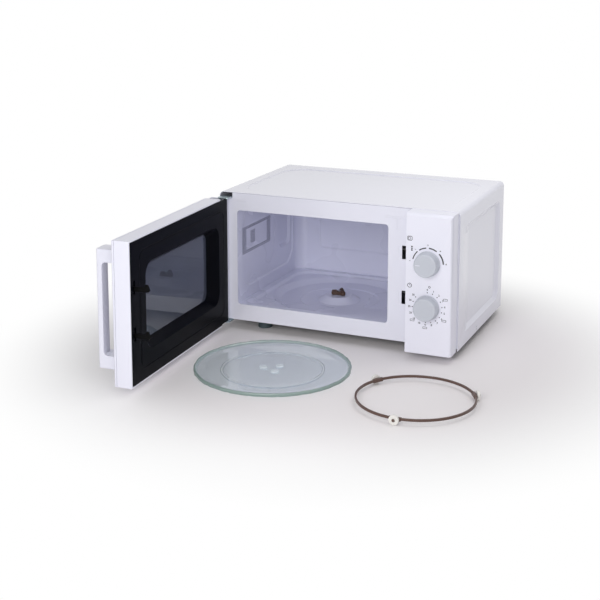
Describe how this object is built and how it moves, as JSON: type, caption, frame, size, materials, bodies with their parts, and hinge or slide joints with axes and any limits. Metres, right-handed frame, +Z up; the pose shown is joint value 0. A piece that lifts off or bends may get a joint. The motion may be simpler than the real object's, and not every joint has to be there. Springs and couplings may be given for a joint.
{
  "type": "microwave oven",
  "caption": "Countertop microwave oven with hinged door, latch, two dial knobs and turntable drive; its glass plate and roller ring lie in front.",
  "frame": {"origin": "middle of the sole of the left front foot, on the table surface", "axes": "+X to the user's right along the front, +Y from the door side to the back, +Z up"},
  "size_m": [0.561, 0.6514, 0.25],
  "materials": {
    "black_plastic": "gloss black moulded plastic",
    "board_green": "circuit board with components",
    "brown_plastic": "brown heat-resistant plastic",
    "can_aluminium": "drawn aluminium can",
    "case_plastic": "natural moulded nylon",
    "cavity_enamel": "semi-gloss enamel, pale lilac white",
    "clear_pane": "clear gloss pane",
    "copper_wire": "enamelled copper wire",
    "core_steel": "varnished laminations",
    "cover_paint": "gloss white powder coat",
    "duct_plastic": "dark grey moulded polypropylene",
    "fin_aluminium": "mill-finish aluminium",
    "foot_rubber": "dark grey rubber",
    "frame_paint": "gloss white paint",
    "hinge_zinc": "blue-passivated zinc plating",
    "hook_plastic": "black moulded acetal",
    "knob_plastic": "silver-grey moulded ABS",
    "lamp_glass": "clear lamp bulb",
    "mica": "pressed mica board",
    "plate_glass": "pressed clear glass, frosted in the middle",
    "screen_paint": "dark grey paint",
    "screw_steel": "nickel-plated steel",
    "socket_ceramic": "glazed porcelain socket",
    "spring_steel": "drawn steel wire",
    "steel_part": "plain steel",
    "wheel_plastic": "white low-friction plastic",
    "white_plastic": "gloss moulded ABS",
    "zinc_sheet": "galvanised sheet"
  },
  "bodies": {
    "cabinet": {"outer_cover": "cover_paint", "rear_panel": "zinc_sheet", "base_plate": "zinc_sheet", "feet": "foot_rubber", "front_frame": "frame_paint", "oven_cavity": "cavity_enamel", "oven_floor": "cavity_enamel", "control_panel": "white_plastic", "timer_unit": "case_plastic", "hinge_top": "hinge_zinc", "hinge_bottom": "hinge_zinc", "hinge_screws": "screw_steel", "waveguide": "zinc_sheet", "waveguide_cover": "mica", "magnetron_body": "fin_aluminium", "magnetron_tube": "steel_part", "thermal_cutout": "steel_part", "transformer_core": "core_steel", "primary_winding": "copper_wire", "secondary_winding": "copper_wire", "capacitor": "can_aluminium", "capacitor_clamp": "zinc_sheet", "diode": "hook_plastic", "filter_board": "board_green", "fan_shroud": "duct_plastic", "fan_motor_core": "core_steel", "fan_motor_coil": "copper_wire", "lamp_holder": "socket_ceramic", "oven_lamp": "lamp_glass", "exhaust_duct": "duct_plastic", "interlock_bracket": "case_plastic", "microswitches": "hook_plastic", "turntable_motor": "steel_part", "cord_gland": "hook_plastic", "case_screws": "screw_steel"},
    "fan": {"fan_rotor": "steel_part", "fan_blade": "case_plastic"},
    "turntable_drive": {"turntable_shaft": "steel_part", "turntable_coupler": "brown_plastic"},
    "door": {"door_frame": "white_plastic", "door_pan": "screen_paint", "choke_cover": "black_plastic", "inner_window": "clear_pane", "outer_window": "clear_pane", "door_handle": "white_plastic", "handle_screws": "screw_steel", "latch_spring": "spring_steel"},
    "latch": {"latch_hooks": "hook_plastic"},
    "power_dial": {"power_knob": "knob_plastic", "power_shaft": "steel_part"},
    "timer_dial": {"timer_knob": "knob_plastic", "timer_shaft": "steel_part"},
    "glass_plate": {"glass_plate": "plate_glass"},
    "roller_ring": {"roller_ring": "brown_plastic"},
    "roller_wheel_1": {"roller_wheel_1": "wheel_plastic"},
    "roller_wheel_2": {"roller_wheel_2": "wheel_plastic"},
    "roller_wheel_3": {"roller_wheel_3": "wheel_plastic"}
  },
  "joints": [
    {"name": "door_hinge", "type": "hinge", "parent": "cabinet", "child": "door", "pos_m": [-0.0648, -0.0475, 0.128], "axis": [0, 0, -1], "range_deg": [-87.5, 17.5]},
    {"name": "latch_slide", "type": "slide", "parent": "door", "child": "latch", "axis": [0, 0, 1], "range_m": [-0.0022, 0], "stiffness_N_per_m": 400, "springref_m": 0.002, "deforming": ["latch_spring"]},
    {"name": "power_turn", "type": "hinge", "parent": "cabinet", "child": "power_dial", "pos_m": [0.324, -0.074, 0.167], "axis": [0, 1, 0], "range_deg": [0, 180]},
    {"name": "timer_turn", "type": "hinge", "parent": "cabinet", "child": "timer_dial", "pos_m": [0.324, -0.074, 0.093], "axis": [0, 1, 0], "range_deg": [0, 310]},
    {"name": "turntable_spin", "type": "hinge", "parent": "cabinet", "child": "turntable_drive", "pos_m": [0.103, 0.102, 0.045], "axis": [0, 0, 1], "continuous": true},
    {"name": "fan_spin", "type": "hinge", "parent": "cabinet", "child": "fan", "pos_m": [0.3065, 0.216, 0.15], "axis": [0, 1, 0], "continuous": true},
    {"name": "plate_turn", "type": "hinge", "parent": "cabinet", "child": "glass_plate", "pos_m": [0.111, -0.209, 0.005], "axis": [0, 0, 1], "continuous": true},
    {"name": "ring_turn", "type": "hinge", "parent": "cabinet", "child": "roller_ring", "pos_m": [0.364, -0.244, 0.0076], "axis": [0, 0, 1], "continuous": true},
    {"name": "wheel_1_roll", "type": "hinge", "parent": "roller_ring", "child": "roller_wheel_1", "pos_m": [0.36233, -0.33948, 0.0076], "axis": [-0.0175, -0.9998, 0], "continuous": true},
    {"name": "wheel_2_roll", "type": "hinge", "parent": "roller_ring", "child": "roller_wheel_2", "pos_m": [0.44753, -0.1977, 0.0076], "axis": [0.8746, 0.4848, 0], "continuous": true},
    {"name": "wheel_3_roll", "type": "hinge", "parent": "roller_ring", "child": "roller_wheel_3", "pos_m": [0.28214, -0.19481, 0.0076], "axis": [-0.8572, 0.515, 0], "continuous": true}
  ],
  "couplings": [
    {"joint": "wheel_1_roll", "follows": "ring_turn", "ratio": -12.566},
    {"joint": "wheel_2_roll", "follows": "ring_turn", "ratio": -12.566},
    {"joint": "wheel_3_roll", "follows": "ring_turn", "ratio": -12.566}
  ]
}
